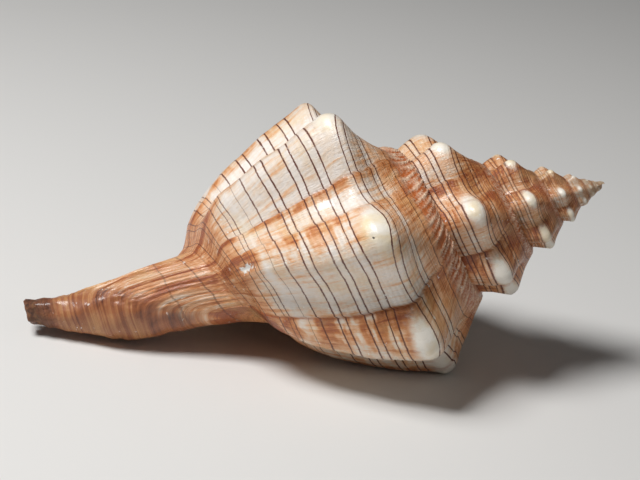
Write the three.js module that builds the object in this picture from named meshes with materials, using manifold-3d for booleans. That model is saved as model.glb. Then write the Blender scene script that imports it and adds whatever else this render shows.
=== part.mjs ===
// A horse conch shell: one coiled tube of shell with knobbed shoulders, a pointed spire
// and a long open canal, lying on its side as it rests on a table.
// Millimetres, +Z up, +X along the shell towards the tip of the spire.

import * as THREE from "three";
import Module from "manifold-3d";

const wasm = await Module();
wasm.setup();

// How the shell coils. A turn is counted from the top of the body whorl, so it is 0 there,
// below 0 in the spire and lipTurn at the edge of the outer lip.
const whorlRatio = 1.71; // each whorl is this many times the one before
const whorls = 7; // from the blunt apex to the lip
const stepsPerTurn = 42; // facets round one whorl
const knobsPerTurn = 7;
const knobTurn = -34 / 360; // the knob nearest the top of the body whorl
const lipTurn = knobTurn + 15 / stepsPerTurn; // the lip ends between two knobs
const knobSharpness = 1.2; // over 1 narrows the knobs against the valleys

// The last half whorl comes down the axis a little less than the ones before.
const lateShare = 0.045;
const lateFrom = -190 / 360;
const lateTo = 60 / 360;

// Outline of the body whorl through a knob, from its seam with the spire to the canal tip.
// radius is out from the coiling axis and drop is down it from the apex. valley is how far
// the outline sinks between knobs, and lead is how many degrees a fold runs on round the
// shell. keepRadius and keepDrop are 0 where the outline grows from whorl to whorl and 1
// where every whorl ends in the one canal.
const outline = [
  { radius: 23.4, drop: 50.6, valley: 0, lead: 0, keepRadius: 0, keepDrop: 0 },
  { radius: 26.0, drop: 52.0, valley: 0.3, lead: 0, keepRadius: 0, keepDrop: 0 },
  { radius: 31.5, drop: 56.3, valley: 3.0, lead: 0, keepRadius: 0, keepDrop: 0 },
  { radius: 38.5, drop: 61.5, valley: 8.0, lead: 0, keepRadius: 0, keepDrop: 0 },
  { radius: 45.4, drop: 67.0, valley: 11.0, lead: 0, keepRadius: 0, keepDrop: 0 },
  { radius: 44.6, drop: 73.0, valley: 9.5, lead: 3, keepRadius: 0, keepDrop: 0 },
  { radius: 41.6, drop: 80.0, valley: 7.0, lead: 8, keepRadius: 0, keepDrop: 0 },
  { radius: 38.0, drop: 87.0, valley: 4.8, lead: 12, keepRadius: 0, keepDrop: 0.02 },
  { radius: 33.6, drop: 93.5, valley: 4.0, lead: 15, keepRadius: 0, keepDrop: 0.05 },
  { radius: 28.0, drop: 100.0, valley: 3.0, lead: 17, keepRadius: 0.1, keepDrop: 0.16 },
  { radius: 20.4, drop: 105.4, valley: 2.0, lead: 18, keepRadius: 0.4, keepDrop: 0.24 },
  { radius: 12.8, drop: 108.4, valley: 1.0, lead: 18, keepRadius: 0.8, keepDrop: 0.3 },
  { radius: 10.0, drop: 112.5, valley: 0.3, lead: 18, keepRadius: 1, keepDrop: 0.4 },
  { radius: 8.9, drop: 122.0, valley: 0, lead: 18, keepRadius: 1, keepDrop: 1 },
  { radius: 7.4, drop: 131.0, valley: 0, lead: 18, keepRadius: 1, keepDrop: 1 },
  { radius: 5.2, drop: 140.0, valley: 0, lead: 18, keepRadius: 1, keepDrop: 1 },
  { radius: 3.5, drop: 150.5, valley: 0, lead: 18, keepRadius: 1, keepDrop: 1 },
];
const lastStation = outline.length - 1;

// Stations are places along the outline, counted by its points. The spire shows the ones up
// to the seam of the next whorl, and the body whorl shows them all.
const seamStation = 7;
const canalStation = 13; // the whorls share the canal from here on
const spireStations = [0, 0.6, 2, 3.2, 3.8, 4.2, 5, 6, seamStation];
const bodyStations = [8, 9, 10, 11, 12, canalStation, 14, 15, lastStation];
const seamIndex = spireStations.length - 1;
const canalIndex = seamIndex + 1 + bodyStations.indexOf(canalStation);

// The canal bends to one side: how far its centre is off the coiling axis at each drop
const canalBend = [
  { drop: 76, offset: 0 },
  { drop: 90, offset: 1.6 },
  { drop: 100, offset: 3.2 },
  { drop: 110, offset: 4.6 },
  { drop: 130, offset: 5.4 },
  { drop: 140, offset: 7.9 },
  { drop: 151, offset: 12.2 },
];

// The hollow inside the whorls, open at the lip
const wall = 2.4; // thickness of the shell near the lip
const wallGrowth = 0.6; // how fast the wall thickens as the whorls grow
const callus = 1.0; // glaze laid over the whorl before
const hollowTurns = 1.75;
const hollowStepsPerTurn = 28;
const hollowOuterStations = [0.9, 2, 3, 4, 4.7, 5.8, 7, 8, 9, 9.8];
const hollowInnerStations = [11.6, 11.1, 10.4, 9.6, 8.6, 7.6];
const lipOvershoot = 0.02; // the hollow is cut this far past the lip

// The groove along the canal and the slit that opens it: how far its centre is out from the
// axis and down it, its bore, and how far the slit cuts outwards
const grooveStops = [
  { radius: 17, drop: 93, bore: 3.4, reach: 4 },
  { radius: 15, drop: 101, bore: 4.2, reach: 6 },
  { radius: 11, drop: 108, bore: 4.2, reach: 20 },
  { radius: 6.8, drop: 115, bore: 3.6, reach: 20 },
  { radius: 3.6, drop: 124, bore: 3.2, reach: 20 },
  { radius: 2.0, drop: 134, bore: 2.7, reach: 20 },
  { radius: 1.0, drop: 144, bore: 2.0, reach: 20 },
  { radius: 0.6, drop: 154, bore: 1.6, reach: 20 },
];
const grooveTurn = lipTurn - 0.01;
const slitTurn = lipTurn + 0.09;
const slitShare = 0.62; // half the slit's width over the bore
const grooveSides = 9;

// How the shell lies on a knob, the lip and the canal: how far its axis rises towards the
// spire, and how far it is rolled round that axis
const axisLift = 21.72;
const axisRoll = 22.75;

const shellColour = 0xdcb893;
const shellRoughness = 0.35;

// A smooth curve through two of the outline's columns
function outlineCurve(first, second) {
  return new THREE.SplineCurve(
    outline.map((point) => new THREE.Vector2(point[first], point[second])),
  );
}

const shapeCurve = outlineCurve("radius", "drop");
const foldCurve = outlineCurve("valley", "lead");
const keepCurve = outlineCurve("keepRadius", "keepDrop");

// The outline of the shell at a turn and a station: x is the radius and y is the drop
function outlineAt(turn, station) {
  const shape = shapeCurve.getPoint(station / lastStation);
  const fold = foldCurve.getPoint(station / lastStation);
  const keep = keepCurve.getPoint(station / lastStation).clampScalar(0, 1);
  const knobAngle = 2 * Math.PI * knobsPerTurn * (turn - knobTurn - fold.y / 360);
  const crest = Math.pow((1 + Math.cos(knobAngle)) / 2, knobSharpness);
  const late = lateShare * THREE.MathUtils.smoothstep(turn, lateFrom, lateTo);
  const radius = shape.x - fold.x * (1 - crest);
  const drop = shape.y * (1 - late * (1 - keep.y));
  return new THREE.Vector2(
    radius * Math.pow(whorlRatio, turn * (1 - keep.x)),
    drop * Math.pow(whorlRatio, turn * (1 - keep.y)),
  );
}

// The station at which the seam of the next whorl covers this one
function seamAt(turn) {
  const seamDrop = outlineAt(turn + 1, 0).y;
  let low = seamStation - 1;
  let high = seamStation + 1;
  while (high - low > 1e-6) {
    const middle = (low + high) / 2;
    if (outlineAt(turn, middle).y < seamDrop) low = middle;
    else high = middle;
  }
  return low;
}

function bendAt(drop) {
  const next = canalBend.findIndex((stop) => stop.drop > drop);
  if (next === 0) return 0;
  if (next < 0) return canalBend.at(-1).offset;
  const from = canalBend[next - 1];
  const to = canalBend[next];
  const share = (drop - from.drop) / (to.drop - from.drop);
  return THREE.MathUtils.lerp(from.offset, to.offset, share);
}

// A point of the shell, with the apex at the origin and the canal running down from it
function place(turn, corner) {
  const angle = -2 * Math.PI * turn;
  const x = corner.x * Math.cos(angle) + bendAt(corner.y);
  return new THREE.Vector3(x, corner.x * Math.sin(angle), -corner.y);
}

// The points and triangles of one closed body
class Skin {
  points = [];
  triangles = [];

  point(position) {
    this.points.push(...position);
    return this.points.length / 3 - 1;
  }

  // Faces between two rows of points of the same length
  strip(left, right) {
    for (let k = 0; k + 1 < left.length; k += 1) {
      this.triangles.push(left[k], right[k], right[k + 1]);
      this.triangles.push(left[k], right[k + 1], left[k + 1]);
    }
  }

  // Faces from one point to each stretch of a row
  fan(tip, row) {
    for (let k = 0; k + 1 < row.length; k += 1) {
      this.triangles.push(tip, row[k], row[k + 1]);
    }
  }

  // A face inside a loop, whose corners are the same loop in a plane of its own. Its edges
  // run the way the loop does.
  face(loop, corners) {
    const clockwise = THREE.ShapeUtils.isClockWise(corners);
    for (const [a, b, c] of THREE.ShapeUtils.triangulateShape(corners, [])) {
      this.triangles.push(loop[a], loop[clockwise ? c : b], loop[clockwise ? b : c]);
    }
  }

  // The same face with its edges running the other way
  backFace(loop, corners) {
    this.face([...loop].reverse(), [...corners].reverse());
  }

  solid() {
    const mesh = new wasm.Mesh({
      numProp: 3,
      vertProperties: new Float32Array(this.points),
      triVerts: new Uint32Array(this.triangles),
    });
    return new wasm.Manifold(mesh);
  }
}

// The outside

const lipStep = whorls * stepsPerTurn;
const bodyStep = lipStep - stepsPerTurn;

// Which corner a row shares with the row one whorl before: its start is on that whorl's
// seam, and at the lip the canal closes on itself.
function sharedCorner(step, k) {
  if (step >= stepsPerTurn && k === 0) return seamIndex;
  if (step === lipStep && k >= canalIndex) return k;
  return -1;
}

// One row of the outside, from the seam with the whorl before down to the next seam, or to
// the canal tip on the body whorl
function outsideRow(skin, rows, step) {
  const turn = lipTurn - (lipStep - step) / stepsPerTurn;
  const seamScale = seamAt(turn) / seamStation;
  const stations = spireStations.map((station) => station * seamScale);
  if (step >= bodyStep) stations.push(...bodyStations);
  const row = { loop: [], corners: [] };
  stations.forEach((station, k) => {
    const shared = sharedCorner(step, k);
    const before = rows[step - stepsPerTurn];
    const corner = shared < 0 ? outlineAt(turn, station) : before.corners[shared];
    row.corners.push(corner);
    row.loop.push(shared < 0 ? skin.point(place(turn, corner)) : before.loop[shared]);
  });
  return row;
}

// A blunt cap over the first whorl
function closeApex(skin, rows) {
  const first = rows[0];
  const tip = skin.point(new THREE.Vector3(0, 0, -0.6 * first.corners[0].y));
  const seam = rows.slice(0, stepsPerTurn + 1).map((row) => row.loop[0]);
  skin.fan(tip, seam.reverse());
  skin.fan(tip, first.loop);
}

// The flat edge of the lip, filled in as far as the whorl before
function closeLip(skin, rows) {
  const lip = rows[lipStep];
  const before = rows[bodyStep];
  const lipPart = [0, canalIndex + 1];
  const beforePart = [seamIndex + 1, canalIndex];
  const loop = [...lip.loop.slice(...lipPart), ...before.loop.slice(...beforePart).reverse()];
  const corners = [
    ...lip.corners.slice(...lipPart),
    ...before.corners.slice(...beforePart).reverse(),
  ];
  skin.backFace(loop, corners);
}

// The blunt end of the canal
function closeCanal(skin, rows) {
  const end = place(0, new THREE.Vector2(0, outline[lastStation].drop));
  const ring = rows.slice(bodyStep).map((row) => row.loop.at(-1));
  skin.fan(skin.point(end), ring);
}

function outsideSolid() {
  const skin = new Skin();
  const rows = [];
  for (let step = 0; step <= lipStep; step += 1) {
    rows.push(outsideRow(skin, rows, step));
  }
  for (let step = 0; step < lipStep; step += 1) {
    skin.strip(rows[step].loop, rows[step + 1].loop.slice(0, rows[step].loop.length));
  }
  closeApex(skin, rows);
  closeLip(skin, rows);
  closeCanal(skin, rows);
  return skin.solid();
}

// The hollow

// A corner set in from the outline by a distance, or out from it where that is below 0
function besideOutline(turn, station, distance) {
  const step = 0.05;
  const above = outlineAt(turn, station - step);
  const below = outlineAt(turn, station + step);
  const inward = new THREE.Vector2(above.y - below.y, below.x - above.x).normalize();
  return outlineAt(turn, station).addScaledVector(inward, distance);
}

// The hollow at one turn: inside its own whorl, and outside the whorl before
function hollowCorners(turn) {
  const thickness = wall * Math.pow(whorlRatio, turn * wallGrowth);
  const outer = hollowOuterStations.map((station) => besideOutline(turn, station, thickness));
  const inner = hollowInnerStations.map((station) => besideOutline(turn - 1, station, -callus));
  return [...outer, ...inner];
}

function hollowSolid() {
  const skin = new Skin();
  const stepCount = Math.round(hollowTurns * hollowStepsPerTurn);
  const rows = [];
  for (let step = 0; step <= stepCount; step += 1) {
    const turn = lipTurn + lipOvershoot - (stepCount - step) / hollowStepsPerTurn;
    const corners = hollowCorners(turn);
    const loop = corners.map((corner) => skin.point(place(turn, corner)));
    if (step === 0) skin.face(loop, corners);
    if (step === stepCount) skin.backFace(loop, corners);
    rows.push([...loop, loop[0]]);
  }
  for (let step = 0; step < stepCount; step += 1) {
    skin.strip(rows[step], rows[step + 1]);
  }
  return skin.solid();
}

// The section of the groove at one stop: a round bore with a slit out of its side
function grooveCorners(stop) {
  const slitAngle = -2 * Math.PI * slitTurn;
  const half = Math.asin(slitShare);
  const corners = [];
  for (let k = 0; k <= grooveSides; k += 1) {
    const angle = THREE.MathUtils.lerp(half, 2 * Math.PI - half, k / grooveSides);
    corners.push(new THREE.Vector2(stop.bore * Math.cos(angle), stop.bore * Math.sin(angle)));
  }
  corners.push(new THREE.Vector2(stop.reach, -slitShare * stop.bore));
  corners.push(new THREE.Vector2(stop.reach, slitShare * stop.bore));
  return corners.map((corner) => corner.rotateAround(new THREE.Vector2(), slitAngle));
}

function grooveSolid() {
  const skin = new Skin();
  const rows = grooveStops.map((stop) => {
    const middle = place(grooveTurn, new THREE.Vector2(stop.radius, stop.drop));
    const corners = grooveCorners(stop);
    const loop = corners.map(({ x, y }) =>
      skin.point(new THREE.Vector3(middle.x + x, middle.y + y, middle.z)),
    );
    return { loop, corners };
  });
  for (let k = 0; k + 1 < rows.length; k += 1) {
    const upper = rows[k].loop;
    const lower = rows[k + 1].loop;
    skin.strip([...upper, upper[0]], [...lower, lower[0]]);
  }
  skin.face(rows[0].loop, rows[0].corners);
  skin.backFace(rows.at(-1).loop, rows.at(-1).corners);
  return skin.solid();
}

// The whole shell

function shellGeometry() {
  const solid = outsideSolid().subtract(hollowSolid().add(grooveSolid()));
  const { vertProperties, triVerts } = solid.getMesh();
  const geometry = new THREE.BufferGeometry();
  geometry.setAttribute("position", new THREE.BufferAttribute(vertProperties, 3));
  geometry.setIndex(new THREE.BufferAttribute(triVerts, 1));
  geometry.computeVertexNormals();
  return geometry;
}

function shellMaterial() {
  return new THREE.MeshStandardMaterial({
    color: shellColour,
    roughness: shellRoughness,
    metalness: 0,
  });
}

const shell = new THREE.Mesh(shellGeometry(), shellMaterial());
shell.name = "shell";

// Lay it down with the middle of its footprint at the origin
const group = new THREE.Group();
group.add(shell);
group.rotation.y = THREE.MathUtils.degToRad(90 - axisLift);
group.rotation.z = THREE.MathUtils.degToRad(180 - axisRoll);
const box = new THREE.Box3().setFromObject(group, true);
const middle = box.getCenter(new THREE.Vector3());
group.position.set(-middle.x, -middle.y, -box.min.z);

export default group;
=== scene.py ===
from math import cos, log, pi, radians, sin

import bmesh
import bpy
import numpy as np
from mathutils import Matrix, Vector


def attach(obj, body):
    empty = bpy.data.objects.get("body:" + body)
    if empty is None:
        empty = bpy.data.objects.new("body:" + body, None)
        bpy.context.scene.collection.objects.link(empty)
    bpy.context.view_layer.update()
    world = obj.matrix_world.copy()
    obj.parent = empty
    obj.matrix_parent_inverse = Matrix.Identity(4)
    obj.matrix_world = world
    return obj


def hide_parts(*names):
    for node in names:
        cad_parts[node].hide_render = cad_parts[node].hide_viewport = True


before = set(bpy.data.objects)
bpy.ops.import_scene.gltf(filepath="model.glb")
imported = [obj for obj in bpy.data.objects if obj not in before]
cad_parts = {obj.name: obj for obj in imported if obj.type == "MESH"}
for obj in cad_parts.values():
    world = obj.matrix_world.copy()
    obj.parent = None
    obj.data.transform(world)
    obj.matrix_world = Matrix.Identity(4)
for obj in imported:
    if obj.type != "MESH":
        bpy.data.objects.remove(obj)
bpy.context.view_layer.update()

mm = 0.001

# How the shell coils, in mm. Turns are counted along it: 0 is on the body whorl, and the older
# whorls lie below 0.
# A station is a place down a whorl: 0 is its seam with the whorl before, 7 the next seam,
# 13 the start of the canal and 16 its tip.
coil = {
    "whorlRatio": 1.71,
    "whorls": 7.5,
    "knobsPerTurn": 7,
    "knobTurn": -34 / 360,
    "lipAfterKnob": 2.5,  # how many knob spaces the lip lies past that knob
    "knobSharpness": 1.2,
    "lateShare": 0.045,  # how much shorter the newest whorl is
    "lateTurns": (-190 / 360, 60 / 360),
    "wear": 0.72,  # the oldest whorls are worn towards a plain cone
    "wearTurns": (-5.3, -3.5),
    "wornSlope": 0.56,
    "wornTip": 0.8,
    "wornTipTurns": (-7.3, -5.8),
    # the newest part stays flatter: about which turn, over how much of a turn, and by how many mm
    # at which stations; on the ramp part of that lowers the shell instead
    "flatter": {
        "turn": 0.03,
        "reach": 0.16,
        "stations": (0, 0.5, 1.5, 2.5, 4, 6, 7.6, 9, 10, 11.2),
        "depths": (0, 0.6, 2.9, 2.9, 2.3, 3.1, 3.2, 2.9, 1.6, 0),
        "rampEnds": (3, 4.5),
        "inwards": (0.6, 1),
        "downwards": (0.78, 0),
    },
    "seamBetween": (6.0, 8.0),  # stations between which the next seam lies
    "bendDrops": (76, 90, 100, 110, 130, 140, 151),
    "bendOffsets": (0, 1.6, 3.2, 4.6, 5.4, 7.9, 12.2),
    "bendSoftness": (-3, -1, 1, 3),
    # radius, drop, valley between knobs, lead of the fold in degrees, keepRadius, keepDrop:
    # the last two are 0 where the outline grows from whorl to whorl and 1 on the shared canal
    "outline": (
        (23.4, 50.6, 0, 0, 0, 0),
        (26.0, 52.0, 0.3, 0, 0, 0),
        (31.5, 56.3, 3.0, 0, 0, 0),
        (38.5, 61.5, 8.0, 0, 0, 0),
        (45.4, 67.0, 11.0, 0, 0, 0),
        (44.6, 73.0, 9.5, 0, 0, 0),
        (41.6, 80.0, 7.2, 0, 0, 0),
        (38.0, 87.0, 5.8, 1, 0, 0.02),
        (33.6, 93.5, 5.0, 2, 0, 0.05),
        (28.0, 100.0, 3.6, 4, 0.1, 0.16),
        (20.4, 105.4, 2.0, 8, 0.4, 0.24),
        (12.8, 108.4, 1.0, 12, 0.8, 0.3),
        (10.0, 112.5, 0.3, 18, 1, 0.4),
        (8.9, 122.0, 0, 18, 1, 1),
        (7.4, 131.0, 0, 18, 1, 1),
        (5.2, 140.0, 0, 18, 1, 1),
        (3.5, 150.5, 0, 18, 1, 1),
    ),
}
# Turn of the lip's edge
lip = coil["knobTurn"] + coil["lipAfterKnob"] / coil["knobsPerTurn"]
lastStation = len(coil["outline"]) - 1

# How it lies: the apex's place in mm, the rise of the axis and the roll round it in degrees
lie = {"apex": (72.983, -7.659, 50.506), "lift": 21.72, "roll": 22.75}

layDown = (
    Matrix.Translation([mm * x for x in lie["apex"]])
    @ Matrix.Rotation(radians(90 - lie["lift"]), 4, "Y")
    @ Matrix.Rotation(radians(180 - lie["roll"]), 4, "Z")
    @ Matrix.Scale(mm, 4)
)


# 0 up to low, 1 from high on
def smoothStep(x, low, high):
    x = np.clip((x - low) / (high - low), 0, 1)
    return x * x * (3 - 2 * x)


# Rises between the first two places and falls between the last two
def plateau(x, riseFrom, riseTo, fallFrom, fallTo):
    return smoothStep(x, riseFrom, riseTo) * (1 - smoothStep(x, fallFrom, fallTo))


def bump(x, middle, width):
    return np.exp(-(((x - middle) / width) ** 2))


# Smooth curve through the points; place counts them from 0
def curveThrough(points, place):
    points = np.asarray(points, float)
    last = len(points) - 1
    place = np.clip(place, 0, last)
    first = np.minimum(np.floor(place).astype(int), last - 1)
    w = (place - first)[..., None]
    a, b = points[np.maximum(first - 1, 0)], points[first]
    c, d = points[first + 1], points[np.minimum(first + 2, last)]
    leave, arrive = (c - a) / 2, (d - b) / 2
    cubic = (2 * b - 2 * c + leave + arrive) * w**3
    return cubic + (3 * c - 3 * b - 2 * leave - arrive) * w**2 + leave * w + b


# Radius and drop below the apex, in mm, of each point of a whorl
def outlineAt(turn, station):
    radius, drop, valley, lead, keepRadius, keepDrop = np.moveaxis(
        curveThrough(coil["outline"], station), -1, 0
    )
    keepRadius, keepDrop = np.clip(keepRadius, 0, 1), np.clip(keepDrop, 0, 1)
    phase = turn - coil["knobTurn"] - lead / 360
    crest = ((1 + np.cos(2 * pi * coil["knobsPerTurn"] * phase)) / 2) ** coil["knobSharpness"]
    radius = radius - valley * (1 - crest)
    worn = coil["wear"] * (1 - smoothStep(turn, *coil["wearTurns"]))
    radius = radius + worn * (coil["wornSlope"] * drop - radius)
    late = coil["lateShare"] * smoothStep(turn, *coil["lateTurns"])
    drop = drop * (1 - late * (1 - keepDrop))
    flat = coil["flatter"]
    depth = bump(turn, flat["turn"], flat["reach"])
    depth = depth * np.interp(station, flat["stations"], flat["depths"])
    radius = radius - depth * np.interp(station, flat["rampEnds"], flat["inwards"])
    drop = drop + depth * np.interp(station, flat["rampEnds"], flat["downwards"])
    ratio = coil["whorlRatio"]
    tip = coil["wornTip"] * (1 - smoothStep(turn, *coil["wornTipTurns"]))
    return (
        radius * ratio ** (turn * (1 - keepRadius)),
        drop * ratio ** (turn * (1 - keepDrop)) - tip,
    )


# Station where the next whorl's seam covers this one, found by halving
def seamAt(turn):
    target = outlineAt(turn + 1, np.zeros_like(turn))[1]
    low, high = (np.full_like(turn, end) for end in coil["seamBetween"])
    for _ in range(30):
        middle = (low + high) / 2
        above = outlineAt(turn, middle)[1] < target
        low, high = np.where(above, middle, low), np.where(above, high, middle)
    return low


# Point in the shell's own frame: its apex at the origin and its axis down Z
def placeAt(turn, radius, drop):
    bend = np.mean([np.interp(drop + soft, coil["bendDrops"], coil["bendOffsets"])
                    for soft in coil["bendSoftness"]], 0)
    angle = -2 * pi * turn
    return np.stack([radius * np.cos(angle) + bend, radius * np.sin(angle), -drop], -1)


# Radius and drop of a point that stands off the outline by a distance in mm
def standOff(turn, station, distance):
    radius, drop = outlineAt(turn, station)
    lowRadius, lowDrop = outlineAt(turn, station - 0.05)
    highRadius, highDrop = outlineAt(turn, station + 0.05)
    slope = np.hypot(highRadius - lowRadius, highDrop - lowDrop) + 1e-9
    radius = radius + distance * (highDrop - lowDrop) / slope
    return radius, drop - distance * (highRadius - lowRadius) / slope


# What the shell's growth left on it, in mm for the body whorl. Phases run from -0.5 to 0.5
# between two valleys, with 0 on the nodule.
growth = {
    # turn and strength of each growth pause, and how far back its orange runs
    "pauses": (
        (-3.32, 0.6, 0.05), (-3.11, 0.7, 0.06), (-2.9, 0.5, 0.05), (-2.7, 0.7, 0.06),
        (-2.52, 0.5, 0.05), (-2.33, 0.6, 0.05), (-2.18, 0.5, 0.04), (-2.08, 0.7, 0.05),
        (-1.93, 0.5, 0.06), (-1.78, 0.8, 0.06), (-1.62, 0.5, 0.04), (-1.46, 0.6, 0.05),
        (-1.317, 1.0, 0.055), (-1.205, 0.4, 0.04), (-1.145, 0.6, 0.03), (-1.02, 0.7, 0.05),
        (-0.87, 0.5, 0.03), (-0.74, 0.9, 0.06), (-0.62, 0.4, 0.03), (-0.5, 0.7, 0.05),
        (-0.325, 1.0, 0.055), (-0.19, 0.4, 0.042), (-0.145, 0.6, 0.012), (-0.06, 0.45, 0.02),
        (0.045, 0.3, 0.012), (0.12, 0.4, 0.03), (0.2, 0.7, 0.04), (0.24, 0.5, 0.02),
    ),
    "pauseStep": 0.5,
    "pauseReach": 0.012,  # turns over which the surface swells before a pause
    "pauseDrop": (-0.0035, 0.001),
    "pauseStations": (1.5, 3.5),
    "sweep": 0.03,  # turns that the growth lines run back on the ramp
    "sweepFrom": 4.4,
    "sweepOver": 2.4,
    "sweepPower": 1.4,
    "tipLag": 0.1,  # the canal's tip is this many turns older than the lip beside it
    "tipBlend": 0.05,
    "tipStations": (9.6, 12.4),
    "ringTurns": (-0.16, 0.1),  # from the turn at which the canal's tip grew past
    "ringStations": (11.8, 13.2),
    "sizeStations": (10.5, 12.5),  # from here down the marks are as large on the older whorls
    # height, width in phases, station and width in stations: a nodule, the ridge that gives way
    # round it, and its rounded tip
    "mounds": {
        "nodule": (1.7, 0.17, 4.25, 0.75),
        "moat": (-0.7, 0.3, 4.3, 1.2),
        "blunt": (-0.75, 0.2, 4.12, 0.32),
    },
    "noduleShift": 0.12,  # share of the space between knobs, towards the lip
    "fold": 2.0,  # how much sharper the folds are than the plain coil's
    "foldLevel": 0.8,
    "foldPhases": (-0.4, -0.14, 0.02, 0.5),
    "foldStations": (4.6, 5.6, 8.9, 9.8),
    "foldTurns": (-1.1, -0.7, lip - 0.16, lip - 0.04),
    "striae": 0.07,  # fine growth lines
    "striaePerTurn": 62,
    "cords": 0.05,  # spiral cords
    "cordsPerStation": 1.6,
    "scales": 78,  # scales to a turn along the seam
    "scaleHeight": 0.6,
    "scaleLevel": 0.35,
    "scaleStations": (1.3, 2.4),
    "seamLap": 0.45,  # how far a whorl stands over the one before at the seam
    "lapStations": (0.5, 3),
    "lapEdge": (0.16, 0.12),  # stations over which it rises, and how much scales add to them
    "uneven": 0.3,
    "rings": 0.2,  # growth rings on the canal
    "canalTrim": 0.3,
    "canalStations": (11.5, 13),
    "slitTurns": (0, 0.03),  # beside the slit the canal stays plain
    "brokenTip": 0.5,
    "brokenStations": (15.2, 15.8),
    "plainUntil": (-6.2, -3.6),  # the oldest whorls have lost most of it
    "lipRound": 0.012,  # turns over which the lip's edge rounds off
    "lipCut": 1.3,
    "lipEnds": (12, 13),  # stations over which that fades into the canal
    # flaws: turn, station, reach along the turn and down the station
    "chipDepth": 0.7,
    "chips": ((-0.219, 9.62, 0.0075, 0.36),),
    "pits": (
        (-0.232, 4.66, 0.0021, 0.06), (-0.001, 4.45, 0.006, 0.05),
        (-0.05, 4.82, 0.007, 0.05), (-0.096, 5.02, 0.006, 0.045),
    ),
}


# When the canal's tip grew past a station
def tipAge(station):
    drop = curveThrough(coil["outline"], station)[..., 1]
    grown = np.log(drop / coil["outline"][-1][1]) / log(coil["whorlRatio"])
    return lip + grown - growth["tipLag"]


# A growth line is the lip's edge of its time. It sweeps back on the ramp. On the canal it runs
# down along it to where the tip then was, and rings it there.
def ageAt(turn, station):
    ramp = np.clip((growth["sweepFrom"] - station) / growth["sweepOver"], 0, None)
    ramp = ramp ** growth["sweepPower"]
    swept = turn - growth["sweep"] * ramp * smoothStep(ramp, -0.5, 0.5)
    apart = tipAge(station) - swept
    later = (apart + np.sqrt(apart**2 + growth["tipBlend"] ** 2)) / 2
    return swept + later * smoothStep(station, *growth["tipStations"])


# 0 on the whorls, 1 where the growth lines ring the canal
def canalAt(turn, station):
    ringed = smoothStep(tipAge(station) - turn, *growth["ringTurns"])
    return ringed * smoothStep(station, *growth["ringStations"])


# How small the growth marks are there, against the body whorl's
def sizeAt(turn, station):
    size = coil["whorlRatio"] ** np.clip(turn, -7, 0)
    return size + (1 - size) * smoothStep(station, *growth["sizeStations"])


def knobPhase(turn, station):
    lead = curveThrough(coil["outline"], station)[..., 3]
    phase = (turn - coil["knobTurn"] - lead / 360) * coil["knobsPerTurn"]
    return (phase - growth["noduleShift"] + 0.5) % 1 - 0.5


# Sum of waves that never quite repeat, between about -1 and 1
def ripple(x, seed=0.0):
    return (np.sin(x + seed) + 0.7 * np.sin(1.73 * x + 2.1 * seed + 1)
            + 0.5 * np.sin(2.91 * x + 0.7 * seed + 2)) / 2


# Crinkled scales, 0 between them and about 1 on top
def scalesAt(age, station):
    round1 = 2 * pi * age
    wander = 1.1 * np.sin(9 * round1) + 0.8 * np.sin(23 * round1 + 1)
    wander = wander + 1.3 * ripple(2.4 * station + 31 * round1, 2) + 1.2 * ripple(14 * round1, 5)
    plates = (0.5 + 0.5 * np.sin(growth["scales"] * round1 + wander)) ** 1.6
    return plates * (0.72 + 0.28 * ripple(37 * round1 + 1.1 * station, 4))


def ringsAt(age):
    round1 = 2 * pi * age
    wander = 1.4 * np.sin(7 * round1) + 0.9 * np.sin(17 * round1 + 2)
    return 0.6 * np.sin(64 * round1 + wander) + 0.7 * np.sin(21 * round1 + 0.5 * wander)


def moundAt(phase, station, name):
    _, across, middle, down = growth["mounds"][name]
    return bump(phase, 0, across) * bump(station, middle, down)


def markAt(turn, station, flaws):
    mark = np.zeros_like(turn)
    for flawTurn, flawStation, along, down in flaws:
        mark = np.maximum(mark, bump(turn, flawTurn, along) * bump(station, flawStation, down))
    return mark


def foldAt(turn, station, phase):
    steep = plateau(phase, *growth["foldPhases"]) - growth["foldLevel"]
    return steep * plateau(station, *growth["foldStations"]) * plateau(turn, *growth["foldTurns"])


# The surface swells up to each growth pause and drops after it
def pauseSteps(age, station):
    steps = np.zeros_like(age)
    for pause, strength, _ in growth["pauses"]:
        past = age - pause
        swell = np.where(past < 0, np.exp(np.minimum(past, 0) / growth["pauseReach"]), 0)
        steps = steps + strength * swell * (1 - smoothStep(past, *growth["pauseDrop"]))
    return steps * smoothStep(station, *growth["pauseStations"])


def fineLines(age, station, phase):
    plain = (1 - 0.7 * moundAt(phase, station, "nodule")) * smoothStep(station, 1, 2)
    striae = growth["striae"] * ripple(2 * pi * growth["striaePerTurn"] * age, 3)
    cords = growth["cords"] * ripple(2 * pi * growth["cordsPerStation"] * station, 1)
    return plain * (striae + cords)


def canalRelief(turn, station, age):
    aroundSlit = np.abs((turn - lip + 0.5) % 1 - 0.5)
    rings = growth["rings"] * ringsAt(age) - growth["canalTrim"]
    lumps = ripple(2 * pi * 2.1 * turn, 1) * ripple(9 * station, 2) - 0.4
    relief = rings * smoothStep(station, *growth["canalStations"])
    relief = relief + growth["brokenTip"] * lumps * smoothStep(station, *growth["brokenStations"])
    return relief * smoothStep(aroundSlit, *growth["slitTurns"])


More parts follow.
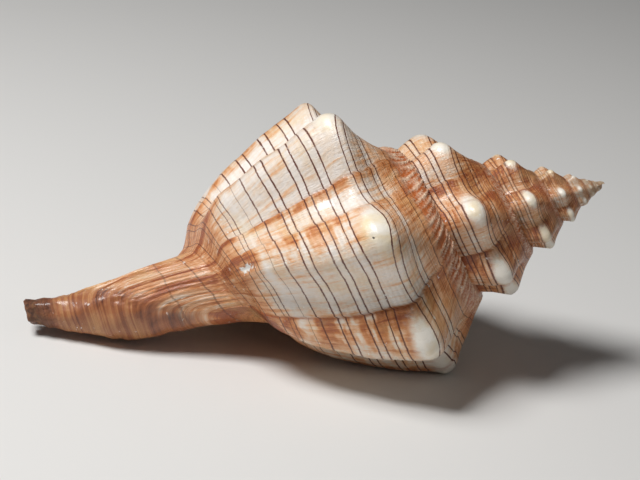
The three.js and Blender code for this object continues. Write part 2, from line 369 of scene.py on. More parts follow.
# How far the surface stands out from the plain coil
def reliefAt(turn, station):
    age, phase = ageAt(turn, station), knobPhase(turn, station)
    relief = sum(growth["mounds"][name][0] * moundAt(phase, station, name) for name in growth["mounds"])
    relief = relief + growth["fold"] * foldAt(turn, station, phase)
    relief = relief + growth["pauseStep"] * pauseSteps(age, station)
    relief = relief + fineLines(age, station, phase)
    scales = scalesAt(age, station)
    nearSeam = 1 - smoothStep(station, *growth["scaleStations"])
    relief = relief + growth["scaleHeight"] * (scales - growth["scaleLevel"]) * nearSeam
    relief = relief + growth["seamLap"] * (1 - smoothStep(station, *growth["lapStations"]))
    waves = np.sin(2.325 * station + 2 * pi * 2.3 * turn) * np.sin(2 * pi * 3.1 * turn + station)
    relief = relief + growth["uneven"] * waves
    plainEdge, scaleEdge = growth["lapEdge"]
    relief = relief * smoothStep(station, 0, plainEdge + scaleEdge * scales)
    relief = relief + canalRelief(turn, station, age)
    relief = relief - growth["chipDepth"] * markAt(turn, station, growth["chips"])
    relief = relief * (0.3 + 0.7 * smoothStep(turn, *growth["plainUntil"]))
    edge = np.clip((turn - lip) / growth["lipRound"] + 1, 0, 1)
    edge = edge * (1 - smoothStep(station, *growth["lipEnds"]))
    rounded = growth["lipCut"] * (1 - np.sqrt(1 - 0.98 * edge**2))
    return relief * sizeAt(turn, station) - rounded


# The outside starts as one flat sheet of squares: across it runs the turn, down it the share of
# the whorl, where 0 is the seam with the whorl before, 1 the next seam and 2 the canal's tip.
skin = {
    "rowsPerTurn": 210,
    "columns": 20,  # from seam to seam
    "baseColumns": 42,  # from the seam to the canal's tip
    "fineFrom": lip - 1,  # the body whorl's squares are split in four
    "seamSpacing": 0.8,  # below 1 the rows lie closer together at the seam
    "weld": 2e-4,  # mm
}
cornerNames = ("turn", "station", "part")
# Which surface a corner is on
parts = {"outside": 0, "end": 0.5, "hollow": 1, "groove": 2}
nearly = 1e-4  # for comparing turns and shares


def addSheet(bm, turns, shares, columns):
    rows = round((turns[1] - turns[0]) * skin["rowsPerTurn"])
    made = bmesh.ops.create_grid(bm, x_segments=rows, y_segments=columns, size=0.5)["verts"]
    bmesh.ops.translate(bm, vec=(0.5, 0.5, 0), verts=made)
    bmesh.ops.scale(bm, vec=(turns[1] - turns[0], shares[1] - shares[0], 1), verts=made)
    bmesh.ops.translate(bm, vec=(turns[0], shares[0], 0), verts=made)


def stationOf(turn, share):
    seam = seamAt(turn)
    spacing = skin["seamSpacing"]
    upper = seam * (spacing * share + (1 - spacing) * share**2)
    return np.where(share <= 1, upper, seam + (share - 1) * (lastStation - seam))


def cornerLayers(bm):
    return [bm.loops.layers.float.get(name) or bm.loops.layers.float.new(name) for name in cornerNames]


# Each corner keeps its turn, its station and which surface it is on
def markCorners(bm, turn, station, part):
    layers = cornerLayers(bm)
    values = np.stack([turn, station], -1).tolist()
    bm.verts.index_update()
    for face in bm.faces:
        for corner in face.loops:
            corner[layers[0]], corner[layers[1]] = values[corner.vert.index]
            corner[layers[2]] = part


def flatPlaces(bm):
    return np.array([vert.co for vert in bm.verts])


def closeHoles(bm, part):
    layers = cornerLayers(bm)
    edges = [edge for edge in bm.edges if edge.is_boundary]
    for face in bmesh.ops.holes_fill(bm, edges=edges, sides=0)["faces"]:
        for corner in face.loops:
            beside = corner.link_loop_radial_next
            twin = beside if beside.vert == corner.vert else beside.link_loop_next
            for layer in layers[:2]:
                corner[layer] = twin[layer]
            corner[layers[2]] = part


# Moves the flat sheet's corners to their places, welds it and closes its ends
def foldUp(bm, places, endPart):
    for vert, place in zip(bm.verts, places):
        vert.co = place
    bmesh.ops.remove_doubles(bm, verts=bm.verts[:], dist=skin["weld"])
    closeHoles(bm, endPart)
    bmesh.ops.recalc_face_normals(bm, faces=bm.faces[:])
    return bm


def buildOutside():
    bm = bmesh.new()
    firstTurn = lip - coil["whorls"]
    addSheet(bm, (firstTurn, lip - 1), (0, 1), skin["columns"])
    addSheet(bm, (lip - 1, lip), (0, 1), skin["columns"])
    addSheet(bm, (lip - 1, lip), (1, 2), skin["baseColumns"])
    bmesh.ops.remove_doubles(bm, verts=bm.verts[:], dist=nearly)
    fine = []
    for edge in bm.edges:
        start = min(vert.co.x for vert in edge.verts)
        onNextSeam = all(abs(vert.co.y - 1) < nearly for vert in edge.verts)
        if start > skin["fineFrom"] - (1 if onNextSeam else 0) - nearly:
            fine.append(edge)
    bmesh.ops.subdivide_edges(bm, edges=fine, cuts=1, use_grid_fill=True)
    turn, share = flatPlaces(bm)[:, :2].T
    station = stationOf(turn, share)
    markCorners(bm, turn, station, parts["outside"])
    onSeam = (share < nearly) & (turn > firstTurn + 1 - nearly)
    turn = np.where(onSeam, turn - 1, turn)
    station = np.where(onSeam, stationOf(turn, np.ones_like(turn)), station)
    places = placeAt(turn, *standOff(turn, station, reliefAt(turn, station)))
    return foldUp(bm, places, parts["end"])


# The hollow inside the whorls, in mm
hollow = {
    "turns": 1.75,
    "rowsPerTurn": 105,
    "around": 80,
    # share of the way round and the corner of the section there: closer together at the plaits
    "spacing": ((0, 0), (0.575, 10), (0.775, 12), (1, 16)),
    "wall": 2.4,
    "wallGrowth": 0.6,  # 0 would leave it as thick on every whorl, 1 makes it grow as the whorls do
    "lipWall": 0.9,  # the wall thins to this at the lip
    "thinFrom": lip - 0.05,
    "glaze": 1.0,  # what is laid over the whorl before, inside
    "overshoot": 0.02,  # turns past the lip's edge, so that the mouth is open
    "outerStations": (0.9, 2, 3, 4, 4.7, 5.8, 7, 8, 9, 9.8),
    "innerStations": (11.6, 11.1, 10.4, 9.6, 8.6, 7.6),
    "plaits": ((0.5, 11.35), (0.42, 10.95), (0.3, 10.6)),  # height and station on the column
    "plaitWidth": 0.17,  # in stations
}


# Corners of the hollow's section at each turn: down inside the outer wall, up the column
def hollowRing(turn):
    wall = hollow["wall"] * coil["whorlRatio"] ** (turn * hollow["wallGrowth"])
    wall = wall + (hollow["lipWall"] - wall) * smoothStep(turn, hollow["thinFrom"], lip)
    outer = [standOff(turn, np.full_like(turn, s), -wall) for s in hollow["outerStations"]]
    inner = [standOff(turn - 1, np.full_like(turn, s), hollow["glaze"]) for s in hollow["innerStations"]]
    return np.stack([np.stack(corner, -1) for corner in outer + inner], 1)


# Plaits on the column, which stand into the hollow
def plaitsAt(turn, station, onColumn):
    plaits = sum(height * bump(station, at, hollow["plaitWidth"]) for height, at in hollow["plaits"])
    return plaits * onColumn * coil["whorlRatio"] ** np.clip(turn, -3, 0)


def buildHollow():
    bm = bmesh.new()
    stations = hollow["outerStations"] + hollow["innerStations"]
    rows = round(hollow["turns"] * hollow["rowsPerTurn"])
    bmesh.ops.create_grid(bm, x_segments=rows, y_segments=hollow["around"], size=0.5)
    across, around = flatPlaces(bm)[:, :2].T + 0.5
    turn = lip + hollow["overshoot"] - hollow["turns"] * (1 - across)
    place = np.interp(around, *np.transpose(hollow["spacing"]))
    ring = hollowRing(turn)
    middle = ring.mean(1)
    ring = np.concatenate([ring[:, -1:], ring, ring[:, :2]], 1)
    first = np.minimum(np.floor(place).astype(int), len(stations) - 1)
    four = np.stack([ring[np.arange(len(turn)), first + k] for k in range(4)], 1)
    section = np.stack([curveThrough(points, np.array(1 + w)) for points, w in zip(four, place - first)])
    station = np.interp(place, np.arange(len(stations) + 1), stations + stations[:1])
    inwards = middle - section
    inwards = inwards / np.linalg.norm(inwards, axis=1, keepdims=True)
    onColumn = place > len(hollow["outerStations"])
    section = section + inwards * plaitsAt(turn, station, onColumn)[:, None]
    markCorners(bm, turn, station, parts["hollow"])
    return foldUp(bm, placeAt(turn, *section.T), parts["hollow"])


# The groove along the canal and the slit that opens it, in mm
groove = {
    # radius and drop of its middle, its bore and how far the slit cuts outwards
    "stops": (
        (17, 93, 3.4, 4), (15, 101, 4.2, 6), (11, 108, 4.2, 20), (6.8, 115, 3.6, 20),
        (3.6, 124, 3.2, 20), (2.0, 134, 2.7, 20), (1.0, 144, 2.0, 20), (0.6, 154, 1.6, 20),
    ),
    "drops": (93, 100, 105.4, 108.4, 112.5, 122, 131, 140, 150.5),  # at the stations from 8 on
    "turn": lip - 0.01,
    "slitTurn": lip + 0.09,
    "slitShare": 0.62,  # the slit's width against the bore
    "boreShare": 0.75,  # the rest of the way round is the slit's two sides and its end
    "rows": 84,
    "around": 36,
}


def buildGroove():
    bm = bmesh.new()
    bmesh.ops.create_grid(bm, x_segments=groove["rows"], y_segments=groove["around"], size=0.5)
    across, around = flatPlaces(bm)[:, :2].T + 0.5
    stops = curveThrough(groove["stops"], across * (len(groove["stops"]) - 1))
    radius, drop, bore, reach = stops.T
    round1 = groove["boreShare"]
    halfSlit = np.arcsin(groove["slitShare"])
    angle = halfSlit + (2 * pi - 2 * halfSlit) * np.clip(around / round1, 0, 1)
    slitSide = (1 - round1) * 0.4
    outwards = np.clip(np.minimum(around - round1, 1 - around) / slitSide, 0, 1)
    sideways = np.clip((around - (1 + round1) / 2 + slitSide / 4) / (slitSide / 2), 0, 1) * 2 - 1
    mouth = bore * cos(halfSlit)
    inSlit = around > round1
    x = np.where(inSlit, mouth + (reach - mouth) * outwards, bore * np.cos(angle))
    y = np.where(inSlit, sideways * groove["slitShare"] * bore, bore * np.sin(angle))
    turnBack = -2 * pi * groove["slitTurn"]
    places = placeAt(np.full_like(drop, groove["turn"]), radius, drop)
    places[:, 0] += x * cos(turnBack) - y * sin(turnBack)
    places[:, 1] += x * sin(turnBack) + y * cos(turnBack)
    station = np.interp(drop, groove["drops"], np.arange(8, lastStation + 1))
    markCorners(bm, np.full_like(drop, lip), station, parts["groove"])
    return foldUp(bm, places, parts["groove"])


def asObject(bm, name):
    mesh = bpy.data.meshes.new(name)
    bm.to_mesh(mesh)
    bm.free()
    made = bpy.data.objects.new(name, mesh)
    bpy.context.scene.collection.objects.link(made)
    print(name, len(mesh.polygons), "faces")
    return made


def cutAway(piece, cutter):
    cut = piece.modifiers.new("cut", "BOOLEAN")
    cut.operation, cut.solver, cut.object = "DIFFERENCE", "MANIFOLD", cutter
    graph = bpy.context.evaluated_depsgraph_get()
    mesh = bpy.data.meshes.new_from_object(piece.evaluated_get(graph))
    piece.modifiers.clear()
    piece.data = mesh
    bpy.data.objects.remove(cutter)
    print("cut", len(mesh.polygons), "faces left")


# How the markings follow the growth, in turns, stations and phases as above
pattern = {
    # the dark lines give way round a nodule: by how much, about which station and over how many
    "aside": ((0.38, 3.85, 0.75), (-0.18, 5.35, 0.5)),
    "asideAnywhere": 0.08,
    "asideWidth": 0.24,
    "asideEnds": (9.2, 10.4),
    # on the early whorls they lie lower, and the upper ones lower still
    "earlyShift": (0.14, 0.24),
    "earlyTurns": (0.45, 0.95),  # turns back
    "earlyStations": (3, 5.4),
    # they jump at a growth pause
    "jump": 0.12,
    "jumpReach": 0.018,
    "jumpEnds": (9.4, 10.4),
    "lineReach": (7.3, 0.65),  # mm to a station, and how that shrinks with the whorls
    "pauseWidth": 0.0019,
    "pauseStations": (1.8, 3, 10, 11.5),
    "weakFlame": 0.65,  # orange before the weakest pause
    "flameOnRamp": 0.5,  # share of it that is left on the ramp
    "flameStations": (3.6, 4.6),
    # orange beside each fold
    "foldFlame": 0.45,
    "foldFlamePhase": (0.1, 0.22),
    "foldFlameStations": (4.9, 5.8, 8.6, 9.6),
    "foldFlameTurns": (0.05, 0.15),  # turns back
    # from white to rust: a share everywhere, then height, start and end of each step
    "tone": 0.09,
    "toneOnRamp": ((0.22, 3.1, 1.6), (0.3, 4.3, 2.7)),
    "toneOnBase": ((0.56, 8.9, 10.1), (-0.14, 11.2, 12.4)),
    "toneOnSpire": ((0.27, 0.5, 1.0), (0.1, 1.4, 2.3), (-0.1, 2.4, 3.4)),  # turns back
    # white on the nodules: phase, its width, station and its width, and how both widths grow
    "white": (-0.01, 0.22, 4.33, 0.66),
    "whiteEarly": (0.05, 0.2),
    "whiteTurns": (0.4, 1.0),  # turns back
}


# Station as the dark lines count it: they give way round the nodules and jump at the pauses
def lineBand(turn, station):
    aside = sum(far * bump(station, middle, width) for far, middle, width in pattern["aside"])
    aside = (aside + pattern["asideAnywhere"]) * (1 - smoothStep(station, *pattern["asideEnds"]))
    band = station + aside * bump(knobPhase(turn, station), 0, pattern["asideWidth"])
    everywhere, above = pattern["earlyShift"]
    shift = everywhere + above * (1 - smoothStep(station, *pattern["earlyStations"]))
    band = band + shift * smoothStep(-turn, *pattern["earlyTurns"])
    age, jump = ageAt(turn, station), 0
    for pause, strength, _ in growth["pauses"]:
        past = age - pause
        before = np.where(past < 0, np.exp(np.minimum(past, 0) / pattern["jumpReach"]), 0)
        jump = jump + pattern["jump"] * strength * before
    return band + jump * (1 - smoothStep(station, *pattern["jumpEnds"]))


# Orange before each growth pause, which ends sharply at it, and beside the folds
def flameAt(turn, station):
    age, flame = ageAt(turn, station), np.zeros_like(turn)
    weak = pattern["weakFlame"]
    for pause, strength, run in growth["pauses"]:
        past = age - pause
        rise = np.where(past < 0, np.exp(-((np.minimum(past, 0) / run) ** 2)), 0)
        flame = np.maximum(flame, (weak + (1 - weak) * strength) * rise)
    beside = bump(knobPhase(turn, station), *pattern["foldFlamePhase"])
    beside = beside * plateau(station, *pattern["foldFlameStations"])
    beside = beside * smoothStep(-turn, *pattern["foldFlameTurns"])
    flame = np.maximum(flame, pattern["foldFlame"] * beside)
    left = pattern["flameOnRamp"]
    return flame * (left + (1 - left) * smoothStep(station, *pattern["flameStations"]))


# The thin dark orange line at each growth pause
def pauseAt(turn, station):
    age, line = ageAt(turn, station), np.zeros_like(turn)
    for pause, strength, _ in growth["pauses"]:
        line = np.maximum(line, strength * bump(age, pause, pattern["pauseWidth"]))
    return line * plateau(station, *pattern["pauseStations"])


def stepsAt(x, steps):
    return sum(height * smoothStep(x, start, end) for height, start, end in steps)


# How far the ground goes from white to rust
def toneAt(turn, station):
    ramp = stepsAt(station, pattern["toneOnRamp"])
    base = stepsAt(station, pattern["toneOnBase"])
    spire = stepsAt(-turn, pattern["toneOnSpire"])
    return pattern["tone"] + ramp + base + spire * (1 - 0.4 * ramp)


def whiteAt(turn, station):
    phase, across, middle, down = pattern["white"]
    early = smoothStep(-turn, *pattern["whiteTurns"])
    moreAcross, moreDown = pattern["whiteEarly"]
    white = bump(knobPhase(turn, station), phase, across + moreAcross * early)
    return white * bump(station, middle, down + moreDown * early)


# Corner attributes that the material reads, in place of those that the shapes were made with
def addPatterns(mesh):
    def values(name):
        numbers = np.zeros(len(mesh.loops), np.float32)
        mesh.attributes[name].data.foreach_get("value", numbers)
        return numbers.astype(float)

    turn, station, part = map(values, cornerNames)
    outside = part < parts["end"] / 2
    age = ageAt(turn, station)
    reach, shrink = pattern["lineReach"]
    made = {
        "age": np.where(outside, age, turn),
        "band": np.where(outside, lineBand(turn, station), station),
        "reach": reach * sizeAt(turn, station) ** shrink,
        "nodule": whiteAt(turn, station) * outside,
        "canal": canalAt(turn, station) * outside,
        "rust": flameAt(turn, station) * outside,  # Cycles keeps the name flame for itself
        "tone": toneAt(turn, station),
        "pause": pauseAt(turn, station) * outside,
        "scale": scalesAt(age, station) * outside,
        "chip": markAt(turn, station, growth["chips"]) * outside,
        "pit": markAt(turn, station, growth["pits"]) * outside,
        "inside": part,
    }
    for name, numbers in made.items():
        layer = mesh.attributes.new(name, "FLOAT", "CORNER")
        layer.data.foreach_set("value", numbers.astype(np.float32))
    for name in cornerNames:
        mesh.attributes.remove(mesh.attributes[name])
    print("patterns", ", ".join(made))


# The shell's colours and its dark lines
finish = {
    "white": "#F3E9E0", "cream": "#EEDAC6", "paleOrange": "#E8B68C", "orange": "#D08750",
    "rust": "#A65A32", "nodule": "#F7F0E4", "straw": "#EFD294", "line": "#66301F",
    "pauseLine": "#9C5529", "scalePale": "#FADDC0", "scaleRust": "#BE622C",
    "canal": "#A5643F", "canalDark": "#5E3020", "canalPale": "#D09A66", "tip": "#3C261C",
    "inside": "#D9976A", "insideRib": "#A8552F", "lip": "#F0DEC8", "chip": "#FFFDF8",
    "pit": "#4A4038", "worn": "#D6BE9E",
    # where each colour lies between white and rust, and between the canal's rings
    "groundStops": ((0, "white"), (0.22, "cream"), (0.45, "paleOrange"), (0.72, "orange"), (1, "rust")),
    "canalStops": ((0.18, "canalDark"), (0.48, "canal"), (0.9, "canalPale")),
    # dark spiral lines: station, half width in mm and strength
    "lines": (
        (1.72, 0.08, 0.35), (2.05, 0.17, 0.85), (2.33, 0.08, 0.5), (2.45, 0.08, 0.4),
        (2.58, 0.08, 0.35), (2.95, 0.19, 0.95), (3.25, 0.19, 0.95), (3.92, 0.20, 1.0),
        (4.28, 0.20, 1.0), (5.25, 0.20, 1.0), (5.6, 0.20, 1.0), (6.2, 0.21, 1.0), (6.52, 0.21, 1.0),
        (7.25, 0.21, 1.0), (7.57, 0.21, 1.0), (8.25, 0.18, 0.95), (8.65, 0.09, 0.5),
        (9.15, 0.13, 0.85), (9.32, 0.11, 0.7), (9.62, 0.14, 0.9), (10.08, 0.14, 0.85),
        (10.3, 0.13, 0.8), (10.95, 0.15, 0.85), (11.5, 0.10, 0.5), (12.1, 0.12, 0.6),
        (12.55, 0.09, 0.45),
    ),
    "lineSoftness": (0.55, 1.5),  # where a line starts to fade and has gone, in half widths
    "lineWobble": 0.36,  # mm
    "lineDrift": 0.09,  # stations
    "whitePairs": (3.1, 5.43, 6.36, 7.41, 8.9),  # paler between the two lines of a pair
    "whiteReach": 0.2,
    "ribsPerStation": 3,
    "cordsPerStation": 4.5,
    "roughness": 0.32,
    "roughnessLimits": (0.12, 0.9),
    "coat": 0.3,
    "coatRoughness": 0.15,
    "ior": 1.52,
    "bump": 0.00016,
    # share of each in the bumps
    "heights": {
        "cords": 0.16, "fineStreaks": 1.3, "hairlines": 0.7, "lines": -0.4, "flecks": 0.8,
        "pitted": 2.5, "pits": -1.2, "ribs": 0.9,
    },
}

# Noise that runs with the growth: how fine across the growth lines and down them, offset,
# detail and roughness
growthNoise = {
    "streaks": (55, 0.9, 0, 5, 0.65),
    "fineStreaks": (380, 1.8, 0, 3, 0.6),
    "hairlines": (1100, 6, 0, 2, 0.5),
    "flecks": (150, 3.4, 0, 5, 0.7),
    "patches": (26, 1.9, 7, 2, 0.5),
    "threads": (150, 0.35, 11, 3, 0.6),
    "lineWobble": (230, 1.5, 0, 3, 0.7),
    "lineDrift": (16, 0.7, 0, 1, 0.5),
    "lineGaps": (120, 5, 0, 3, 0.7),
    "lineWidth": (75, 2.6, 5, 3, 0.7),
    "rings": (95, 1.3, 9, 5, 0.65),
    "wideRings": (30, 0.5, 3, 2, 0.5),
}
# Noise that is the same all over: how fine, detail, roughness and distortion
evenNoise = {
    "blotches": (100, 4, 0.55, 0.6),
    "pitted": (900, 4, 0.6, 0),
    "chipped": (480, 4, 0.7, 0),
}

material = bpy.data.materials.new("conchShell")
material.use_nodes = True
tree = material.node_tree


# Colour from a hex code, as the shader wants it
def shade(name):
    levels = [int(finish[name][k : k + 2], 16) / 255 for k in (1, 3, 5)]
    return [p / 12.92 if p < 0.04 else ((p + 0.055) / 1.055) ** 2.4 for p in levels] + [1]


def fill(socket, value):
    if isinstance(value, bpy.types.NodeSocket):
        tree.links.new(value, socket)
    else:
        socket.default_value = value


def add(kind, inputs=(), **settings):
    node = tree.nodes.new("ShaderNode" + kind)
    for name, value in settings.items():
        setattr(node, name, value)
    for name, value in dict(inputs).items():
        fill(node.inputs[name], value)
    return node


def calc(operation, a, b=0.0, c=0.0, clamp=False):
    return add("Math", {0: a, 1: b, 2: c}, operation=operation, use_clamp=clamp).outputs[0]


def spread(value, low, high, to=(0, 1), smooth=False):
    ends = {"Value": value, "From Min": low, "From Max": high, "To Min": to[0], "To Max": to[1]}
    kind = "SMOOTHSTEP" if smooth else "LINEAR"
    return add("MapRange", ends, interpolation_type=kind).outputs["Result"]


def mix(amount, a, b):
    return add("Mix", {0: amount, 6: a, 7: b}, data_type="RGBA").outputs[2]


def noise(vector, scale, detail, roughness, distortion=0.0):
    return add("TexNoise", {"Vector": vector, "Scale": scale, "Detail": detail,
                            "Roughness": roughness, "Distortion": distortion}).outputs["Fac"]


# Adds a noise to a value, by its share each way
def swing(value, share, onto):
    return calc("MULTIPLY_ADD", calc("SUBTRACT", value, 0.5), share, onto)


def ramped(value, stops):
    ramp = add("ValToRGB", {"Fac": value})
    while len(ramp.color_ramp.elements) < len(stops):
        ramp.color_ramp.elements.new(0.5)
    for element, (at, name) in zip(ramp.color_ramp.elements, stops):
        element.position, element.color = at, shade(name)
    return ramp.outputs["Color"]


# Coordinates that run with the growth: across the growth lines and down them
def along(ageScale, bandScale, offset):
    return add("CombineXYZ", {"X": calc("MULTIPLY", given["age"], ageScale),
                              "Y": calc("MULTIPLY", given["band"], bandScale), "Z": offset}).outputs[0]


givenNames = "age band reach nodule canal rust tone pause scale chip pit inside".split()
given = {name: add("Attribute", attribute_name=name).outputs["Fac"] for name in givenNames}
place = add("TexCoord").outputs["Object"]
grain = {name: noise(along(*n[:3]), 1.0, *n[3:]) for name, n in growthNoise.items()}
grain.update({name: noise(place, *n) for name, n in evenNoise.items()})

# What more than one layer needs
canal = spread(swing(grain["streaks"], 1.1, given["canal"]), 0.25, 0.75, smooth=True)
tip = spread(swing(grain["pitted"], 0.9, given["band"]), 15.1, 15.7, smooth=True)
worn = spread(given["age"], -6.0, -3.4, (0.85, 0))
insideShare = spread(given["inside"], 0.3, 0.6)
ribs = calc("SINE", calc("MULTIPLY", given["band"], 2 * pi * finish["ribsPerStation"]))


# From white through orange to rust
def groundColour():
    patchy = spread(grain["patches"], 0.36, 0.56, (0.3, 1), smooth=True)
    ground = calc("MULTIPLY", given["tone"], 0.95)
    ground = calc("MULTIPLY_ADD", calc("MULTIPLY", given["rust"], patchy), 0.8, ground)
    ground = swing(grain["streaks"], calc("MULTIPLY_ADD", given["tone"], 0.9, 0.55), ground)
    ground = swing(grain["blotches"], 0.4, ground)
    ground = swing(grain["flecks"], spread(given["band"], 9.2, 11, (0.5, 1.3)), ground)
    ground = swing(grain["fineStreaks"], 0.5, ground)
    ground = calc("MULTIPLY_ADD", spread(grain["threads"], 0.5, 0.68), 0.3, ground)
    for middle in finish["whitePairs"]:
        apart = calc("ABSOLUTE", calc("SUBTRACT", given["band"], middle))
        near = calc("SUBTRACT", finish["whiteReach"], apart, clamp=True)
        ground = calc("MULTIPLY_ADD", near, -1.0, ground)
    colour = ramped(ground, finish["groundStops"])
    return mix(spread(grain["blotches"], 0.54, 0.78, (0, 0.4)), colour, shade("straw"))


# Crinkled scales along the seam, pale on top and rust between
def withScales(colour):
    nearSeam = calc("MULTIPLY_ADD", grain["flecks"], 0.8, given["band"])
    nearSeam = spread(nearSeam, 1.9, 2.5, (0.9, 0), smooth=True)
    paleness = calc("MULTIPLY_ADD", given["scale"], 0.85, 0.16)
    paleness = swing(grain["flecks"], 1.6, swing(grain["streaks"], 1.2, paleness))
    scaly = mix(spread(paleness, 0.2, 0.85), shade("scaleRust"), shade("scalePale"))
    return mix(nearSeam, colour, scaly)


def withNodules(colour):
    whiteness = swing(grain["streaks"], 0.5, swing(grain["flecks"], 0.6, given["nodule"]))
    white = mix(spread(grain["blotches"], 0.45, 0.7, (0, 0.7)), shade("nodule"), shade("straw"))
    return mix(spread(whiteness, 0.2, 0.72, smooth=True), colour, white)


def withPauses(colour):
    strength = spread(grain["streaks"], 0.3, 0.6, (0.4, 1.0))
    return mix(calc("MULTIPLY", given["pause"], strength), colour, shade("pauseLine"))


# The dark spiral lines, which wobble, break up, and fade on the nodules and the early whorls
def spiralLines():
    lineAt = swing(grain["lineDrift"], finish["lineDrift"], given["band"])
    wobble = swing(grain["lineWobble"], finish["lineWobble"], 0.0)
    reach = calc("MULTIPLY", given["reach"], spread(grain["lineWidth"], 0.3, 0.7, (1.35, 0.75)))
    solid, gone = finish["lineSoftness"]
    lines = 0.0
    for station, halfWidth, strength in finish["lines"]:
        apart = calc("MULTIPLY_ADD", calc("SUBTRACT", lineAt, station), reach, wobble)
        ends = (halfWidth * solid, halfWidth * gone, (strength, 0))
        lines = calc("MAXIMUM", lines, spread(calc("ABSOLUTE", apart), *ends, smooth=True))
    lines = calc("MULTIPLY", lines, spread(grain["lineGaps"], 0.3, 0.48, (0.6, 1.0)))
    lines = calc("MULTIPLY", lines, spread(given["nodule"], 0.6, 0.85, (1, 0.05), smooth=True))
    return calc("MULTIPLY", lines, spread(given["age"], -4.2, -1.2, (0, 1)))


# The canal's brown with its growth rings
def canalColour():
    rings = swing(grain["wideRings"], 1.0, grain["rings"])
    rings = swing(grain["flecks"], 0.7, swing(grain["blotches"], 1.1, rings))
    return ramped(rings, finish["canalStops"])


# The dark tip, the worn apex, the pits and the chip
def withFlaws(colour):
    pitted = grain["pitted"]
    dark = calc("MULTIPLY", tip, spread(pitted, 0.35, 0.6, (0.95, 0.55)))
    colour = mix(dark, colour, shade("tip"))
    colour = mix(calc("MULTIPLY", worn, spread(pitted, 0.3, 0.6)), colour, shade("worn"))
    colour = mix(spread(swing(pitted, 1.6, given["pit"]), 0.45, 0.8), colour, shade("pit"))
    chipped = spread(swing(grain["chipped"], 2.6, given["chip"]), 0.42, 0.56)
    return mix(chipped, colour, mix(spread(pitted, 0.3, 0.5), shade("worn"), shade("chip")))


# Glossy orange with fine ribs, pale at the lip and brown in the canal
def insideColour():
    within = mix(calc("MULTIPLY", spread(ribs, 0.2, 0.9), 0.5), shade("inside"), shade("insideRib"))
    within = mix(spread(grain["blotches"], 0.35, 0.7, (0, 0.5)), within, shade("lip"))
    atLip = spread(given["age"], lip - 0.07, lip - 0.01, (0, 0.85), smooth=True)
    within = mix(atLip, within, shade("lip"))
    return mix(spread(given["band"], 11.8, 13.4, smooth=True), within, shade("canal"))


def roughness():
    rough = swing(grain["flecks"], 0.35, swing(grain["fineStreaks"], 0.3, finish["roughness"]))
    rough = calc("MULTIPLY_ADD", canal, 0.1, rough)
    rough = calc("MULTIPLY_ADD", calc("MAXIMUM", tip, worn), 0.4, rough)
    rough = calc("MULTIPLY_ADD", insideShare, -0.1, rough)
    smoothest, roughest = finish["roughnessLimits"]
    return calc("MAXIMUM", calc("MINIMUM", rough, roughest), smoothest)


# What is too fine for the mesh
def bumps(lines):
    shares = finish["heights"]
    cords = calc("SINE", calc("MULTIPLY", given["band"], 2 * pi * finish["cordsPerStation"]))
    height = calc("MULTIPLY", grain["fineStreaks"], shares["fineStreaks"])
    height = calc("MULTIPLY_ADD", cords, shares["cords"], height)
    height = calc("MULTIPLY_ADD", grain["hairlines"], shares["hairlines"], height)
    height = calc("MULTIPLY", height, spread(given["nodule"], 0.3, 0.8, (1, 0.3)))
    height = calc("MULTIPLY", height, spread(given["inside"], 0.3, 0.6, (1, 0.2)))
    roughParts = calc("MAXIMUM", tip, calc("MULTIPLY", canal, 0.4))
    more = {
        "lines": lines,
        "flecks": grain["flecks"],
        "pitted": calc("MULTIPLY", grain["pitted"], roughParts),
        "pits": given["pit"],
        "ribs": calc("MULTIPLY", ribs, insideShare),
    }
    for name, value in more.items():
        height = calc("MULTIPLY_ADD", value, shares[name], height)
    return add("Bump", {"Height": height, "Strength": 1.0, "Distance": finish["bump"]}).outputs["Normal"]


darkLines = spiralLines()
colour = withPauses(withNodules(withScales(groundColour())))
colour = mix(canal, colour, canalColour())
colour = withFlaws(mix(darkLines, colour, shade("line")))
shaderInputs = {
    "Base Color": mix(insideShare, colour, insideColour()),
    "Roughness": roughness(),
    "Normal": bumps(darkLines),
    "Coat Weight": finish["coat"],
    "Coat Roughness": finish["coatRoughness"],
    "IOR": finish["ior"],
}
for name, value in shaderInputs.items():
    fill(tree.nodes["Principled BSDF"].inputs[name], value)
print("material", len(tree.nodes), "nodes")

conch = asObject(buildOutside(), "conch")
cutAway(conch, asObject(buildHollow(), "hollowCutter"))
cutAway(conch, asObject(buildGroove(), "grooveCutter"))
conch.data.transform(layDown)
conch.data.name = "conch"
for face in conch.data.polygons:
    face.use_smooth = True
conch.data.set_sharp_from_angle(angle=radians(48))
uses = np.bincount([loop.edge_index for loop in conch.data.loops])
print("open edges", np.count_nonzero(uses != 2))
addPatterns(conch.data)
conch.data.materials.clear()
conch.data.materials.append(material)
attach(conch, "root")
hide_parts("shell")

# The camera stands where the photograph's did, in the shell's own frame in mm
view = {
    "place": (7.5, 458.4, -73.7),
    "roll": 17,  # degrees between the axis and the picture's side
    "lens": 101.25,
    "sensor": 36,
    "clip": (0.05, 20),  # m
}

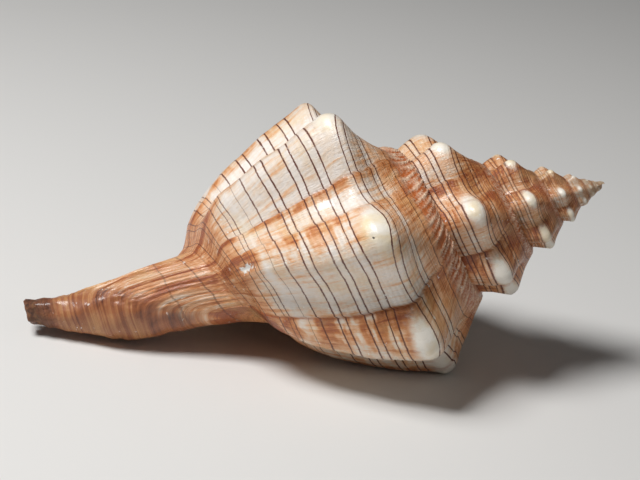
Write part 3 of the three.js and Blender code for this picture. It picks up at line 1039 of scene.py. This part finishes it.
camera = bpy.data.objects.new("camera", bpy.data.cameras.new("camera"))
bpy.context.scene.collection.objects.link(camera)
side, ahead = radians(view["roll"]), Vector((0, -1, 0))
right = Vector((-sin(side), 0, cos(side)))
axes = Matrix((right, right.cross(ahead).normalized(), -ahead)).transposed()
turned = layDown.to_3x3().normalized() @ axes
camera.matrix_world = Matrix.Translation(layDown @ Vector(view["place"])) @ turned.to_4x4()
camera.data.lens = view["lens"]
camera.data.sensor_width = view["sensor"]
camera.data.clip_start, camera.data.clip_end = view["clip"]
bpy.context.scene.camera = camera
print("camera set")

# The set: a pale floor, a soft key light from the upper left, a weaker fill and a pale sky, in m
stageSet = {
    "floor": 6.0,
    "floorColour": (0.74, 0.73, 0.71),
    "floorRoughness": 0.8,
    "aim": (0, 0, 0.03),
    # degrees round from the front and degrees up, then distance, size and power
    "key": (-74, 60, 0.75, 0.32, 6.2),
    "fill": (30, 35, 0.9, 0.8, 0.3),
    "sky": 0.05,
}

bm = bmesh.new()
bmesh.ops.create_grid(bm, x_segments=1, y_segments=1, size=stageSet["floor"] / 2)
floor = asObject(bm, "floor")
floor.location.z = min(vert.co.z for vert in conch.data.vertices)
floor.data.materials.append(bpy.data.materials.new("paleFloor"))
floor.data.materials[0].use_nodes = True
floorShader = floor.data.materials[0].node_tree.nodes["Principled BSDF"]
floorShader.inputs["Base Color"].default_value = (*stageSet["floorColour"], 1)
floorShader.inputs["Roughness"].default_value = stageSet["floorRoughness"]


def addLight(name):
    across, up, distance, size, power = stageSet[name]
    lamp = bpy.data.objects.new(name, bpy.data.lights.new(name, "AREA"))
    bpy.context.scene.collection.objects.link(lamp)
    a, e = radians(across), radians(up)
    back = Vector((sin(a) * cos(e), -cos(a) * cos(e), sin(e)))
    lamp.location = Vector(stageSet["aim"]) + back * distance
    lamp.rotation_mode = "QUATERNION"
    lamp.rotation_quaternion = (-back).to_track_quat("-Z", "Y")
    lamp.data.shape = "DISK"
    lamp.data.size, lamp.data.energy = size, power


addLight("key")
addLight("fill")
sky = bpy.data.worlds.new("sky")
sky.use_nodes = True
sky.node_tree.nodes["Background"].inputs["Strength"].default_value = stageSet["sky"]
sky.node_tree.nodes["Background"].inputs["Color"].default_value = (1, 1, 1, 1)
bpy.context.scene.world = sky
bpy.context.scene.view_settings.view_transform = "Standard"
print("stage set")
